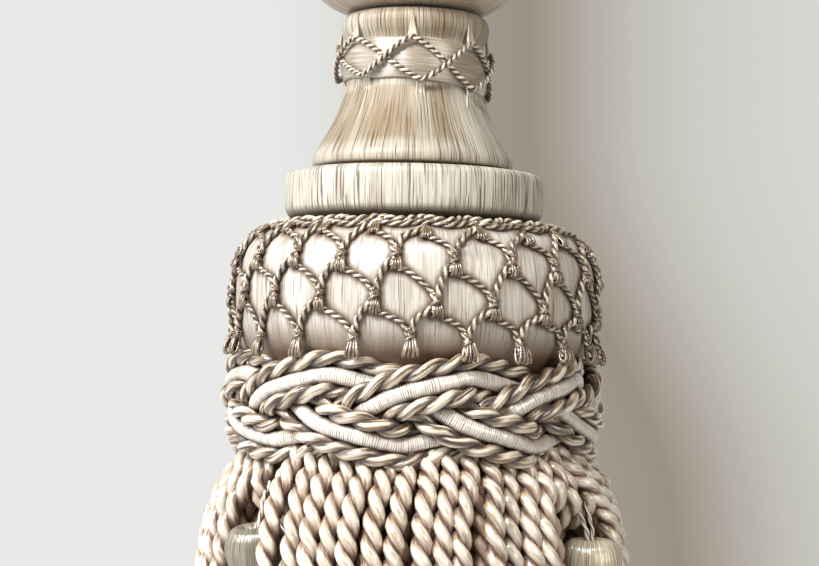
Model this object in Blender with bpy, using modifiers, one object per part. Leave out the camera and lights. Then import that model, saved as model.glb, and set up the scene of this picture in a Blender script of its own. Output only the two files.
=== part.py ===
"""Curtain tieback tassel: turned and silk-covered head, knotted net, plaited ruff, bullion skirt.

Metres, +Z up. The origin is the middle of the top face of the cord collar, where the tieback
rope enters. Sizes below are in millimetres and MM turns them into metres.
"""
import math

import bmesh
import bpy
import numpy as np
from mathutils import Matrix, Vector

MM = 0.001
GAP = 0.3                    # clearance between neighbouring pieces

# Heights of the stack, measured down from the top of the collar
BUN_CENTRE_Z = -11.3
BUN_SEAM_Z = -17.6
NECK_TOP_Z = -17.9
WAIST_TOP_Z = -22.8
WAIST_BOTTOM_Z = -34.2
BAND_Z = -28.4
NECK_FOOT_Z = -49.3
DISC_TOP_Z = -49.6
DISC_BOTTOM_Z = -59.3
DRUM_TOP_Z = -60.1
DRUM_WIDEST_Z = -72.2
DRUM_FLARE_Z = -77.0
DRUM_BASE_Z = -84.4
SPIGOT_END_Z = -106.4
PLAIT_Z = -95.7
SKIRT_TOP_Z = -106.9
SKIRT_ROOT_Z = -109.6
SKIRT_END_Z = -224.0

# Radii
COLLAR_R = 5.5
CORD_HOLE_R = 3.0
BUN_R = 20.4
BUN_HALF_HEIGHT = 8.0
BUN_FLAT_R = 6.2
NECK_R = 14.8
WAIST_R = 13.2
BAND_R = 14.9
BAND_HALF_HEIGHT = 4.0
BELL_R = 20.0
BELL_LINE = ((14.4, -35.0), (15.4, -38.0), (16.6, -40.6), (18.2, -43.4), (19.6, -46.1))
DISC_R = 25.8
DISC_RIM = 2.6               # radius of the rounding at the rim
DRUM_LIP_R = 24.6
DRUM_R = 36.1
DRUM_BASE_IN = 4.6           # how far the base curves in
SPIGOT_R = 30.3
SKIRT_ROOT_R = 34.2

# The turned pieces sit a little out of level, and the sewn waist trim a little more
SEAT_TILT = math.radians(1.25)
BAND_TILT = math.radians(5.0)
LATTICE_TOP_TILT = math.radians(3.3)
LATTICE_FOOT_TILT = math.radians(7.0)

# Waist lattice: a zigzag that goes twice round, with seven points above and seven below
LATTICE_CORD_R = 0.5
LATTICE_WEAVE = 0.65         # in and out of the middle radius where it crosses itself
LATTICE_TOP_Z = -24.6
LATTICE_FOOT_Z = -32.8
LATTICE_TOP_ANGLES = (-49.0, -1.0, 47.0, 99.8, 152.6, 205.4, 258.2)
LATTICE_FOOT_ANGLES = (-41.0, 5.0, 48.0, 102.2, 156.4, 210.6, 264.8)
LATTICE_STEPS = 5            # points along each leg

# Net
NET_COLUMNS = 21
NET_CORD = 1.1
NET_KNOT = 2.3
NET_STAND = 0.4              # the net's back stands this far off the drum
NET_BOW = 0.9                # a leg bows out by this much, and up by half as much
NET_RING_Z = (-60.6, -61.6)
NET_ROWS = ((-62.8, 2.85), (-69.2, 12.30), (-77.0, 22.94), (-83.2, 32.69))   # height, degrees

# Plait: three leads and eight bights, three cords side by side
PLAIT_LEADS = 3
PLAIT_BIGHTS = 8
PLAIT_R = 34.5
PLAIT_RISE = 6.4             # half height of the middle cord's wave
PLAIT_SPACING = 2.9
PLAIT_LIFT = 2.3             # in and out of the middle radius at a crossing
PLAIT_PHASE = math.radians(19.0)
ROPE_R = 1.1
GIMP_R = 1.3
PLAIT_POINTS = 192

# Bullion skirt and the three drops that hang in its partings
STRAND_R = 1.75
DROP_ANGLES = (-49.0, 59.0, 183.0)
PARTING_HALF_ANGLE = 10.0
STRANDS_PER_SECTOR = 15
STRAND_LEVELS = (-108.6, -113.0, -118.0, -130.0, -168.0)
SQUEEZE_HEIGHT = 9.0         # the outer strands have left the partings this far below their roots
HANG_LINE = ((-106.0, 32.2), (-111.0, 35.6), (-116.0, 39.0), (-122.0, 40.2),
             (-136.0, 41.6), (-160.0, 42.2), (-200.0, 41.6), (-224.0, 41.2))
INNER_LAYERS = ((29.0, 36.4, 26), (22.5, 27.0, 16), (14.0, 16.0, 8))   # root radius, radius, count
INNER_FREE_Z = -126.0        # the inner strands have reached their own radius here
BEHIND_DROP_ANGLE = 18.0
BEHIND_DROP_R = 29.6
DROP_R = 5.9
DROP_TOP_Z = (-117.3, -120.4, -118.5)
DROP_HEIGHT = 8.6
DROP_AXIS_R = 38.8
DROP_DISH = 1.6              # depth of the dished top
DROP_THREAD_R = 0.7
TUFT_LENGTH = 24.0
TUFT_BACKING_R = 3.6
TUFT_BACKING_HEIGHT = 1.4
TUFT_STRANDS = 8
TUFT_STRAND_R = 0.9
TUFT_RADII = (2.4, 3.9, 4.3)                                   # at the root, below it, at the tip


def clear_scene():
    for ob in list(bpy.data.objects):
        bpy.data.objects.remove(ob, do_unlink=True)


def material(name, colour, roughness):
    mat = bpy.data.materials.new(name)
    mat.use_nodes = True
    shader = mat.node_tree.nodes["Principled BSDF"]
    shader.inputs["Base Color"].default_value = (*colour, 1.0)
    shader.inputs["Roughness"].default_value = roughness
    shader.inputs["Metallic"].default_value = 0.0
    return mat


def add_object(name, data, collection, mat, parent=None):
    ob = bpy.data.objects.new(name, data)
    collection.objects.link(ob)
    data.materials.append(mat)
    ob.parent = parent
    return ob


def seat(name, z, tilt, collection):
    """An empty on the axis at height z, tilted so that the right-hand side is lower."""
    empty = bpy.data.objects.new(name, None)
    collection.objects.link(empty)
    empty.location = (0.0, 0.0, z * MM)
    empty.rotation_euler = (0.0, tilt, 0.0)
    return empty


def turned(name, profile, steps, collection, mat, parent=None, seat_z=0.0):
    """A turned piece from its outer profile, (radius, height) in mm from top to bottom.

    A profile that comes back to its first point makes a ring.
    """
    is_ring = profile[0] == profile[-1]
    bm = bmesh.new()
    corners = profile[:-1] if is_ring else profile
    verts = [bm.verts.new((r * MM, 0.0, (z - seat_z) * MM)) for r, z in corners]
    if is_ring:
        verts.append(verts[0])
    for upper, lower in zip(verts, verts[1:]):
        bm.edges.new((upper, lower))
    mesh = bpy.data.meshes.new(name)
    bm.to_mesh(mesh)
    bm.free()
    ob = add_object(name, mesh, collection, mat, parent)
    screw = ob.modifiers.new("turn", "SCREW")
    screw.steps = steps
    screw.render_steps = steps
    screw.use_merge_vertices = True
    screw.merge_threshold = 0.00001
    screw.use_smooth_shade = True
    return ob


def ellipse_arc(centre_r, centre_z, half_width, half_height, start, end, steps):
    """Points on an ellipse, angles in degrees from the top, clockwise to the outer side."""
    points = []
    for i in range(steps + 1):
        a = math.radians(start + (end - start) * i / steps)
        points.append((centre_r + half_width * math.sin(a), centre_z + half_height * math.cos(a)))
    return points


def tube(name, points, radius, collection, mat, cyclic=False, parent=None, sides=4):
    """A cord as a curve through points in mm."""
    curve = bpy.data.curves.new(name, "CURVE")
    curve.dimensions = "3D"
    curve.bevel_depth = radius * MM
    curve.bevel_resolution = (sides - 4) // 2
    curve.use_fill_caps = not cyclic
    spline = curve.splines.new("POLY")
    spline.points.add(len(points) - 1)
    for point, place in zip(spline.points, points):
        point.co = (place[0] * MM, place[1] * MM, place[2] * MM, 1.0)
    spline.use_cyclic_u = cyclic
    return add_object(name, curve, collection, mat, parent)


# ---------------------------------------------------------------- turned head

def build_head(parts, silk, tan):
    wall = [(CORD_HOLE_R, -3.2), (CORD_HOLE_R, -0.2), (CORD_HOLE_R + 0.2, 0.0), (COLLAR_R - 0.5, 0.0)]
    side = [(COLLAR_R, -0.6), (COLLAR_R, -2.7), (COLLAR_R - 0.5, -3.2), (CORD_HOLE_R, -3.2)]
    turned("cord_collar", wall + side, 24, parts, tan)

    bun_seat = seat("bun_seat", BUN_CENTRE_Z, SEAT_TILT, parts)
    start = math.degrees(math.asin(BUN_FLAT_R / BUN_R))
    drop = (BUN_CENTRE_Z - BUN_SEAM_Z) / BUN_HALF_HEIGHT
    end = 180.0 - math.degrees(math.acos(drop))
    arc = ellipse_arc(0.0, BUN_CENTRE_Z, BUN_R, BUN_HALF_HEIGHT, start, end, 9)
    profile = [(0.0, arc[0][1])] + arc + [(0.0, arc[-1][1])]
    turned("top_bun", profile, 28, parts, tan, bun_seat, BUN_CENTRE_Z)

    neck_z = 0.5 * (NECK_TOP_Z + NECK_FOOT_Z)
    neck_seat = seat("neck_seat", neck_z, SEAT_TILT, parts)
    collar = ellipse_arc(NECK_R - 1.9, NECK_TOP_Z - 1.7, 1.9, 1.7, 0.0, 90.0, 2)
    waist = [(NECK_R - 0.3, WAIST_TOP_Z + 0.5), (WAIST_R, WAIST_TOP_Z), (WAIST_R, WAIST_BOTTOM_Z)]
    foot = [(BELL_R, NECK_FOOT_Z + 1.4), (BELL_R - 0.4, NECK_FOOT_Z), (0.0, NECK_FOOT_Z)]
    profile = [(0.0, NECK_TOP_Z)] + collar + waist + list(BELL_LINE) + foot
    turned("neck_mould", profile, 32, parts, silk, neck_seat, neck_z)

    disc_z = 0.5 * (DISC_TOP_Z + DISC_BOTTOM_Z)
    disc_seat = seat("disc_seat", disc_z, SEAT_TILT, parts)
    half = 0.5 * (DISC_TOP_Z - DISC_BOTTOM_Z)
    middle, edge = DISC_R - DISC_RIM, half - DISC_RIM
    upper = ellipse_arc(middle, disc_z + edge, DISC_RIM, DISC_RIM, 0.0, 90.0, 3)
    lower = ellipse_arc(middle, disc_z - edge, DISC_RIM, DISC_RIM, 90.0, 180.0, 3)
    profile = [(0.0, DISC_TOP_Z)] + upper + lower + [(0.0, DISC_BOTTOM_Z)]
    turned("disc_mould", profile, 32, parts, silk, disc_seat, disc_z)


def drum_profile():
    """Outer line of the drum: round shoulder, straight wall, base that curves in."""
    shoulder = ellipse_arc(DRUM_LIP_R, DRUM_WIDEST_Z, DRUM_R - DRUM_LIP_R,
                           DRUM_TOP_Z - DRUM_WIDEST_Z, 0.0, 90.0, 5)
    base = ellipse_arc(DRUM_R - DRUM_BASE_IN, DRUM_FLARE_Z, DRUM_BASE_IN,
                       DRUM_FLARE_Z - DRUM_BASE_Z, 90.0, 150.0, 3)
    return shoulder + base


def build_drum(parts, silk, drum_seat, seat_z):
    spigot = [(SPIGOT_R, DRUM_BASE_Z), (SPIGOT_R, SPIGOT_END_Z), (0.0, SPIGOT_END_Z)]
    profile = [(0.0, DRUM_TOP_Z)] + drum_profile() + spigot
    turned("drum_mould", profile, 40, parts, silk, drum_seat, seat_z)


# ---------------------------------------------------------------- waist trim

def lattice_path():
    """Down to the right, up to the right, twice round, over and under itself in turn."""
    turning = []
    for k in range(2 * len(LATTICE_TOP_ANGLES) + 1):
        angles = LATTICE_FOOT_ANGLES if k % 2 else LATTICE_TOP_ANGLES
        rounds, place = divmod(k, len(angles))
        turning.append(angles[place] + 360.0 * rounds)
    points = []
    for leg, (start, end) in enumerate(zip(turning, turning[1:])):
        for i in range(LATTICE_STEPS):
            share = i / LATTICE_STEPS
            angle = math.radians(start + (end - start) * share)
            down = share if leg % 2 == 0 else 1.0 - share
            over = 1.0 if leg % 2 == 0 else -1.0
            r = BAND_R + LATTICE_CORD_R + GAP + LATTICE_WEAVE * (1.0 + over * math.sin(math.pi * share))
            x, y = r * math.sin(angle), -r * math.cos(angle)
            top = LATTICE_TOP_Z - x * math.tan(LATTICE_TOP_TILT)
            foot = LATTICE_FOOT_Z - x * math.tan(LATTICE_FOOT_TILT)
            points.append((x, y, top + (foot - top) * down))
    return points


def build_waist(parts, satin, cord):
    band_seat = seat("band_seat", BAND_Z, BAND_TILT, parts)
    inner = WAIST_R + 0.45
    low, high = BAND_Z - BAND_HALF_HEIGHT, BAND_Z + BAND_HALF_HEIGHT
    belly = 0.6 * BAND_HALF_HEIGHT
    outer = [(inner + 0.5, high), (BAND_R - 0.25, BAND_Z + belly), (BAND_R, BAND_Z),
             (BAND_R - 0.25, BAND_Z - belly), (inner + 0.5, low)]
    ring = [(inner, high)] + outer + [(inner, low), (inner, high)]
    turned("waist_band", ring, 32, parts, satin, band_seat, BAND_Z)
    tube("waist_lattice", lattice_path(), LATTICE_CORD_R, parts, cord, cyclic=True)


# ---------------------------------------------------------------- net

def drum_radius(z):
    """Radius of the drum's outer line at height z, mm."""
    line = drum_profile()
    heights = [-p[1] for p in line]
    return float(np.interp(-z, heights, [p[0] for p in line]))


def on_net(angle_deg, z, seat_z):
    a = math.radians(angle_deg)
    r = drum_radius(z) + NET_STAND
    return (r * math.sin(a) * MM, -r * math.cos(a) * MM, (z - seat_z) * MM)


def build_net(parts, cord, drum_seat, seat_z):
    """Knots with four legs each, on the drum's surface, hung from a ring at the top."""
    bm = bmesh.new()
    step = 360.0 / NET_COLUMNS
    half_knot = math.degrees(0.5 * NET_KNOT / DRUM_R)

    def vert(angle, z):
        return bm.verts.new(on_net(angle, z, seat_z))

    ring_top, ring_low = [], []
    first_z, first_angle = NET_ROWS[0]
    for k in range(NET_COLUMNS):
        for offset in (-half_knot, half_knot, 0.5 * step):
            ring_top.append(vert(first_angle + k * step + offset, NET_RING_Z[0]))
            ring_low.append(vert(first_angle + k * step + offset, NET_RING_Z[1]))
    count = len(ring_top)
    for i in range(count):
        j = (i + 1) % count
        bm.faces.new((ring_top[i], ring_low[i], ring_low[j], ring_top[j]))

    rows = []
    for row, (z, angle) in enumerate(NET_ROWS):
        knots = []
        for k in range(NET_COLUMNS):
            a = angle + k * step
            west, east = vert(a - half_knot, z), vert(a + half_knot, z)
            south = vert(a, z - 0.5 * NET_KNOT)
            if row == 0:
                left, right = ring_low[3 * k], ring_low[3 * k + 1]
                bm.faces.new((left, west, east, right))
                bm.faces.new((west, south, east))
                knots.append({"sw": (west, south), "se": (south, east), "at": (a, z)})
            else:
                north = vert(a, z + 0.5 * NET_KNOT)
                bm.faces.new((north, west, south, east))
                knots.append({"sw": (west, south), "se": (south, east), "at": (a, z),
                              "nw": (north, west), "ne": (east, north)})
        rows.append(knots)

    for row in range(1, len(rows)):
        for k in range(NET_COLUMNS):
            for side in ("se", "sw"):
                upper = rows[row - 1][k]
                # a leg to the right goes to the next row's knot of its own number, one to the left
                # to the knot before that
                lower = rows[row][k if side == "se" else (k - 1) % NET_COLUMNS]
                net_leg(bm, upper, lower, side, step, vert)
    mesh = bpy.data.meshes.new("net")
    bm.to_mesh(mesh)
    bm.free()
    ob = add_object("net", mesh, parts, cord, drum_seat)
    solid = ob.modifiers.new("cord thickness", "SOLIDIFY")
    solid.thickness = NET_CORD * MM
    solid.offset = 1.0
    solid.use_even_offset = False
    return ob


def net_leg(bm, upper, lower, side, step, vert):
    """One strip of cord between two knots, bowed outwards as the rounded cells show."""
    end = {"se": "nw", "sw": "ne"}[side]
    sign = 1.0 if side == "se" else -1.0
    a0, z0 = upper["at"]
    a1, z1 = lower["at"]
    while a1 - a0 > 0.75 * step:
        a1 -= step
    while a1 - a0 < -0.75 * step:
        a1 += step
    if sign * (a1 - a0) < 0:
        a1 += sign * step
    across = math.degrees(0.5 * NET_CORD / DRUM_R)
    slant = 0.45 * sign * NET_CORD
    centre = (0.5 * (a0 + a1) + sign * math.degrees(NET_BOW / DRUM_R), 0.5 * (z0 + z1 + NET_BOW))
    left = vert(centre[0] - across, centre[1] - slant)
    right = vert(centre[0] + across, centre[1] + slant)
    first, second = upper[side]
    low_first, low_second = lower[end]
    # going down, the strip's left edge joins the left corners of both knots
    bm.faces.new((first, left, right, second))
    bm.faces.new((left, low_second, low_first, right))


# ---------------------------------------------------------------- plait

def plait_path(offset, seat_z):
    """One cord of the plait: three times round, eight bights a side, over and under."""
    slope = PLAIT_RISE * 0.866 * (PLAIT_BIGHTS / PLAIT_LEADS) / PLAIT_R
    lean = math.sin(math.atan(slope))
    shift = PLAIT_SPACING / (2.0 * lean) * (PLAIT_BIGHTS / PLAIT_LEADS) / PLAIT_R
    turns = 2.0 * math.pi * PLAIT_LEADS
    points = []
    for i in range(PLAIT_POINTS):
        round_angle = turns * i / PLAIT_POINTS
        wave = round_angle * PLAIT_BIGHTS / PLAIT_LEADS
        rise = PLAIT_RISE * math.sin(wave) * PLAIT_BIGHTS / PLAIT_LEADS
        length = math.hypot(PLAIT_R, rise)
        z = -PLAIT_RISE * math.cos(wave) + offset * PLAIT_R / length
        angle = round_angle - offset * rise / length / PLAIT_R
        moved = wave + shift * offset / PLAIT_SPACING * math.sin(wave)
        over = math.tanh(4.0 * math.sin(2.0 * moved)) / math.tanh(4.0)
        r = PLAIT_R - PLAIT_LIFT * over           # a cord comes over to its edge and leaves it under
        turn = angle + PLAIT_PHASE + math.pi / PLAIT_BIGHTS
        points.append((r * math.sin(turn), -r * math.cos(turn), PLAIT_Z + z - seat_z))
    return points


def build_plait(parts, silk, gimp, drum_seat, seat_z):
    cords = (("plait_rope_upper", PLAIT_SPACING, ROPE_R, silk),
             ("plait_gimp", 0.0, GIMP_R, gimp),
             ("plait_rope_lower", -PLAIT_SPACING, ROPE_R, silk))
    for name, offset, radius, mat in cords:
        tube(name, plait_path(offset, seat_z), radius, parts, mat, cyclic=True, parent=drum_seat)


# ---------------------------------------------------------------- skirt, drops and tufts

def strand(bm, path, radius, sides, first_turn=0.0):
    """A closed prism down a path in mm, its sections level."""
    ring = bmesh.ops.create_circle(bm, cap_ends=True, segments=sides, radius=radius * MM,
                                   matrix=Matrix.Translation(Vector(path[0]) * MM)
                                   @ Matrix.Rotation(first_turn, 4, "Z"))
    face = ring["verts"][0].link_faces[0]
    if face.normal.z > 0:
        face.normal_flip()
    top_edges = list(face.edges)
    last = Vector(path[0])
    for place in path[1:]:
        result = bmesh.ops.extrude_face_region(bm, geom=[face])
        moved = [v for v in result["geom"] if isinstance(v, bmesh.types.BMVert)]
        faces = [f for f in result["geom"] if isinstance(f, bmesh.types.BMFace)]
        bmesh.ops.translate(bm, verts=moved, vec=(Vector(place) - last) * MM)
        bmesh.ops.delete(bm, geom=[f for f in (face,) if f.is_valid], context="FACES_ONLY")
        face = faces[0]
        last = Vector(place)
    bmesh.ops.contextual_create(bm, geom=[e for e in top_edges if e.is_valid])


def fringe(name, backing, strands, collection, cutters, mat):
    """Strands whose roots are fused into a round backing by one union."""
    bm = bmesh.new()
    for path, radius, sides, turn in strands:
        strand(bm, path, radius, sides, turn)
    bmesh.ops.recalc_face_normals(bm, faces=bm.faces)
    mesh = bpy.data.meshes.new(name + "_strands")
    bm.to_mesh(mesh)
    bm.free()
    hanging = add_object(name + "_strands", mesh, cutters, mat)
    hanging.hide_render = True
    hanging.display_type = "WIRE"
    union = backing.modifiers.new("roots", "BOOLEAN")
    union.operation = "UNION"
    union.solver = "EXACT"
    union.object = hanging
    return backing


def disc_backing(name, centre, radius, thickness, segments, collection, mat, tilt=0.0):
    mesh = bpy.data.meshes.new(name)
    bm = bmesh.new()
    place = Matrix.Translation(Vector(centre) * MM) @ Matrix.Rotation(tilt, 4, "Y")
    bmesh.ops.create_cone(bm, cap_ends=True, segments=segments, radius1=radius * MM,
                          radius2=radius * MM, depth=thickness * MM, matrix=place)
    bm.to_mesh(mesh)
    bm.free()
    return add_object(name, mesh, collection, mat)


def hang_radius(z):
    """Radius of the outer strands' middle line at height z, mm."""
    depths = [-level for level, _ in HANG_LINE]
    return float(np.interp(-z, depths, [radius for _, radius in HANG_LINE]))


def skirt_strands():
    """Outer cords in three sectors between the drops, and three sparser layers inside."""
    strands = []
    number = 0
    for k, start in enumerate(DROP_ANGLES):
        end = DROP_ANGLES[(k + 1) % 3] + (360.0 if k == 2 else 0.0)
        width = (end - start - 2.0 * PARTING_HALF_ANGLE) / STRANDS_PER_SECTOR
        spread = (end - start) / STRANDS_PER_SECTOR
        for i in range(STRANDS_PER_SECTOR):
            low = math.radians(start + PARTING_HALF_ANGLE + (i + 0.5) * width)
            root = math.radians(start + (i + 0.5) * spread)
            end_z = SKIRT_END_Z + 1.5 * math.sin(2.4 * number)
            path = []
            for z in STRAND_LEVELS + (end_z,):
                ease = min(1.0, (STRAND_LEVELS[0] - z) / SQUEEZE_HEIGHT)
                a = root + (low - root) * ease
                r = hang_radius(z)
                path.append((r * math.sin(a), -r * math.cos(a), z))
            strands.append((path, STRAND_R, 3, low))
            number += 1
    for layer, (root_r, layer_r, count) in enumerate(INNER_LAYERS):
        for i in range(count):
            r = layer_r
            degrees = (i + 0.5 * layer) * 360.0 / count
            a = math.radians(degrees)
            beside = min(abs((degrees - d + 180.0) % 360.0 - 180.0) for d in DROP_ANGLES)
            if beside < BEHIND_DROP_ANGLE:
                r = min(r, BEHIND_DROP_R)
            end_z = SKIRT_END_Z + 2.0 + 1.5 * math.sin(1.7 * i + layer)
            path = [(root_r * math.sin(a), -root_r * math.cos(a), STRAND_LEVELS[0]),
                    (r * math.sin(a), -r * math.cos(a), INNER_FREE_Z),
                    (r * math.sin(a), -r * math.cos(a), end_z)]
            strands.append((path, STRAND_R, 3, a))
    return strands


def build_skirt(parts, cutters, mat):
    thickness = SKIRT_TOP_Z - SKIRT_ROOT_Z
    middle = 0.5 * (SKIRT_TOP_Z + SKIRT_ROOT_Z)
    backing = disc_backing("bullion_skirt", (0.0, 0.0, middle), SKIRT_ROOT_R, thickness, 48, parts,
                           mat, SEAT_TILT)
    fringe("bullion_skirt", backing, skirt_strands(), parts, cutters, mat)


def build_drops(parts, cutters, silk, cord, ivory):
    for n, (angle, top) in enumerate(zip(DROP_ANGLES, DROP_TOP_Z), start=1):
        a = math.radians(angle)
        x, y = DROP_AXIS_R * math.sin(a), -DROP_AXIS_R * math.cos(a)
        foot = top - DROP_HEIGHT
        dish = [(0.0, top - DROP_DISH), (1.8, top - DROP_DISH + 0.2), (3.2, top - 0.1), (4.2, top)]
        body = [(5.4, top - 1.5), (DROP_R, top - 3.6), (5.7, top - 6.3), (4.7, foot), (0.0, foot)]
        drop = turned(f"drop_mould_{n}", dish + body, 16, parts, silk)
        drop.location = (x * MM, y * MM, 0.0)

        hang = [(x, y, top - DROP_DISH + 0.5), (x, y, top + 2.0),
                (0.97 * x, 0.97 * y, top + 5.0), (0.9 * x, 0.9 * y, SKIRT_ROOT_Z + 0.6)]
        tube(f"drop_thread_{n}", hang, DROP_THREAD_R, parts, cord)

        middle = foot - GAP - 0.5 * TUFT_BACKING_HEIGHT
        backing = disc_backing(f"drop_tuft_{n}", (x, y, middle), TUFT_BACKING_R,
                               TUFT_BACKING_HEIGHT, 12, parts, ivory)
        strands = []
        for i in range(TUFT_STRANDS):
            b = i * math.tau / TUFT_STRANDS
            heights = (foot - 1.2, foot - 7.0, foot - TUFT_LENGTH)
            path = [(x + r * math.sin(b), y - r * math.cos(b), z) for r, z in zip(TUFT_RADII, heights)]
            strands.append((path, TUFT_STRAND_R, 3, b))
        fringe(f"drop_tuft_{n}", backing, strands, parts, cutters, ivory)


clear_scene()
parts = bpy.data.collections.new("curtain_tieback_tassel")
cutters = bpy.data.collections.new("strands_to_fuse")
bpy.context.scene.collection.children.link(parts)
bpy.context.scene.collection.children.link(cutters)

silk = material("silk_floss", (0.72, 0.66, 0.55), 0.38)
tan = material("tan_silk", (0.42, 0.33, 0.23), 0.45)
satin = material("satin_thread", (0.74, 0.69, 0.60), 0.30)
net_cord = material("bronze_cord", (0.38, 0.29, 0.19), 0.50)
rope_silk = material("rope_silk", (0.66, 0.57, 0.45), 0.42)
gimp_silk = material("gimp_silk", (0.74, 0.67, 0.58), 0.35)
bullion = material("bullion_silk", (0.72, 0.62, 0.51), 0.45)

build_head(parts, silk, tan)
build_waist(parts, satin, net_cord)
drum_z = 0.5 * (DRUM_TOP_Z + SPIGOT_END_Z)
drum_seat = seat("drum_seat", drum_z, SEAT_TILT, parts)
build_drum(parts, silk, drum_seat, drum_z)
build_net(parts, net_cord, drum_seat, drum_z)
build_plait(parts, rope_silk, gimp_silk, drum_seat, drum_z)
build_skirt(parts, cutters, bullion)
build_drops(parts, cutters, silk, rope_silk, bullion)
bpy.context.view_layer.update()
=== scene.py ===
import math

import bmesh
import bpy
import numpy as np
from mathutils import Matrix, Vector
from mathutils.kdtree import KDTree


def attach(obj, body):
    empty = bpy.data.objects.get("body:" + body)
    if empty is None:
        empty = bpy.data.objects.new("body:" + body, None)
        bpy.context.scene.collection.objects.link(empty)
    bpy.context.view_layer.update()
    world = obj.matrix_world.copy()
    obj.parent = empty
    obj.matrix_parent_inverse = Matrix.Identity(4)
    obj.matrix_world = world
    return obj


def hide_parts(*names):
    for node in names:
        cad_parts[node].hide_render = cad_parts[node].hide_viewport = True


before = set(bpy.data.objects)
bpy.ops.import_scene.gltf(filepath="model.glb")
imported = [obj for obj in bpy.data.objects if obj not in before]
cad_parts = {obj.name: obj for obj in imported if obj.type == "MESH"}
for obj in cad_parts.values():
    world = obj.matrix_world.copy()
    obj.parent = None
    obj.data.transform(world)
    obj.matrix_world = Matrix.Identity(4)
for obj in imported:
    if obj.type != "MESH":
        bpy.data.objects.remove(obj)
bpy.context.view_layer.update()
MM = 0.001                 # the sizes below are in millimetres

# ---------------------------------------------------------------------------------------------
# Camera
# A close view of the head at the height of the drum's base, tipped up a little, so that the
# skirt runs out of the picture below.


def link_object(name, data):
    """A new object, linked into the scene."""
    made = bpy.data.objects.new(name, data)
    bpy.context.scene.collection.objects.link(made)
    return made


camera_data = bpy.data.cameras.new("camera")
camera_data.sensor_width = 36.0
camera_data.lens = 83.5
camera = link_object("camera", camera_data)
camera.location = (0.0, -0.380, -0.0858)
camera.rotation_euler = (math.radians(92.17), 0.0, math.radians(0.136))
bpy.context.scene.camera = camera

# ---------------------------------------------------------------------------------------------
# Studio
# A pale sweep of paper whose right half holds a painted shadow, the soft shade that a light from
# the left would leave there. A soft key above at the left, a small lamp near the front and weak fills.


def feed(tree, node, values):
    """Sets a node's inputs, each to a value or by a link from a socket."""
    for socket, value in values.items():
        if isinstance(value, bpy.types.NodeSocket):
            tree.links.new(value, node.inputs[socket])
        else:
            node.inputs[socket].default_value = value


def add(tree, kind, links=(), **settings):
    """One shader node: settings are its properties, links its input values or sockets."""
    made = tree.nodes.new("ShaderNode" + kind)
    for key, value in settings.items():
        setattr(made, key, value)
    feed(tree, made, dict(links))
    return made


def calc(tree, operation, *values):
    """The result of a Math node."""
    return add(tree, "Math", dict(enumerate(values)), operation=operation).outputs[0]


def rescaled(tree, value, low, high, to_low=0.0, to_high=1.0, kind="LINEAR"):
    """value, with low to high mapped to to_low to to_high and held there beyond them."""
    return add(tree, "MapRange", {"Value": value, "From Min": low, "From Max": high, "To Min": to_low,
                                  "To Max": to_high}, interpolation_type=kind).outputs[0]


def split(tree, vector):
    """The X, Y and Z sockets of a vector."""
    return add(tree, "SeparateXYZ", {"Vector": vector}).outputs


def object_place(tree):
    return add(tree, "TexCoord").outputs["Object"]


def new_material(name):
    mat = bpy.data.materials.new(name)
    mat.use_nodes = True
    return mat, mat.node_tree


def ramp(tree, value, stops):
    """A colour ramp over value, from (position, colour) stops."""
    made = add(tree, "ValToRGB", {"Fac": value})
    bands = made.color_ramp.elements
    while len(bands) < len(stops):
        bands.new(0.5)
    for band, (position, colour) in zip(bands, stops):
        band.position = position
        band.color = (*colour, 1.0)
    return made.outputs["Color"]


def mesh_of(name, bm):
    """A smooth mesh from bm, which is freed."""
    mesh = bpy.data.meshes.new(name)
    bm.to_mesh(mesh)
    bm.free()
    mesh.shade_smooth()
    return mesh


sweep_bm = bmesh.new()
sweep_line = [(-1.5, -0.36), (0.95, -0.36)]
for i in range(1, 9):
    bend = math.radians(90.0 * i / 8)
    sweep_line.append((0.95 + 0.35 * math.sin(bend), -0.01 - 0.35 * math.cos(bend)))
sweep_line.append((1.30, 1.6))
sweep_verts = [sweep_bm.verts.new((-1.8, y, z)) for y, z in sweep_line]
sweep_edges = [sweep_bm.edges.new(pair) for pair in zip(sweep_verts, sweep_verts[1:])]
drawn = bmesh.ops.extrude_edge_only(sweep_bm, edges=sweep_edges)
moved = [v for v in drawn["geom"] if isinstance(v, bmesh.types.BMVert)]
bmesh.ops.translate(sweep_bm, verts=moved, vec=(3.6, 0.0, 0.0))
bmesh.ops.recalc_face_normals(sweep_bm, faces=sweep_bm.faces)
sweep = link_object("paper_sweep", mesh_of("paper_sweep", sweep_bm))

# the paper glows by itself, its shade a painted shadow in the glow, so that it stays where it is whatever
# the lamps do
paper, tree = new_material("paper")
where = split(tree, object_place(tree))
edge = rescaled(tree, where["Z"], 0.12, -0.22, 0.172, 0.288, "SMOOTHSTEP")
beyond = calc(tree, "SUBTRACT", where["X"], edge)
shade = ramp(tree, rescaled(tree, beyond, -0.30, 0.20), [
    (0.00, (0.80, 0.80, 0.795)), (0.12, (0.74, 0.74, 0.72)), (0.32, (0.36, 0.32, 0.275)),
    (0.46, (0.32, 0.27, 0.225)), (0.57, (0.45, 0.415, 0.365)), (0.65, (0.53, 0.52, 0.465)),
    (0.76, (0.60, 0.60, 0.56)), (1.00, (0.67, 0.68, 0.66))])
feed(tree, tree.nodes["Principled BSDF"], {
    "Base Color": (0.02, 0.02, 0.02, 1.0), "Roughness": 1.0, "Specular IOR Level": 0.0,
    "Emission Color": shade, "Emission Strength": 1.0})
sweep.data.materials.append(paper)

world = bpy.data.worlds.new("studio")
world.use_nodes = True
feed(world.node_tree, world.node_tree.nodes["Background"],
     {"Color": (1.0, 0.83, 0.62, 1.0), "Strength": 0.13})
bpy.context.scene.world = world
bpy.context.scene.view_settings.view_transform = "Standard"


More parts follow.
